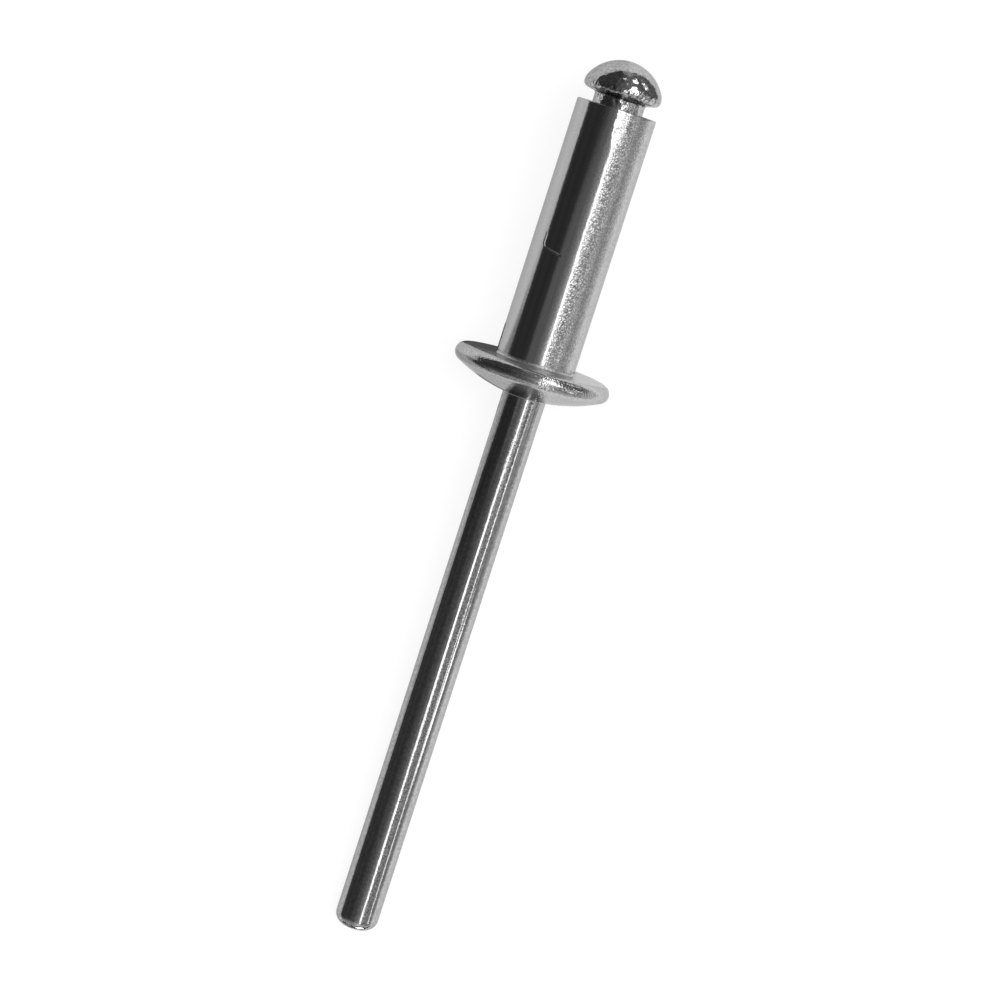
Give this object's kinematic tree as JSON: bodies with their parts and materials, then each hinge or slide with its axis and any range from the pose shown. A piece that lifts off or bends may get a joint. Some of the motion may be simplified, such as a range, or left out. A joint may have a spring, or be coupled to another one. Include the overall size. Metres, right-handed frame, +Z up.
{
  "type": "pop rivet",
  "caption": "Open-end blind rivet before setting: tubular sleeve with a domed flange on a round-headed steel pulling mandrel, lying on its flange rim and mandrel tip.",
  "frame": {"origin": "floor level under the middle of the rivet's length, as it lies at rest on its flange rim and mandrel tip", "axes": "+X along the rivet in plan, towards the mandrel's head, +Y across it, +Z up from the surface it lies on"},
  "size_m": [0.045, 0.0078, 0.0079],
  "materials": {
    "sleeve_steel": "bright drawn, fine orange peel",
    "mandrel_steel": "bright drawn, fine lengthwise lines"
  },
  "bodies": {
    "root": {"rivet_body": "sleeve_steel", "mandrel": "mandrel_steel"}
  },
  "joints": []
}
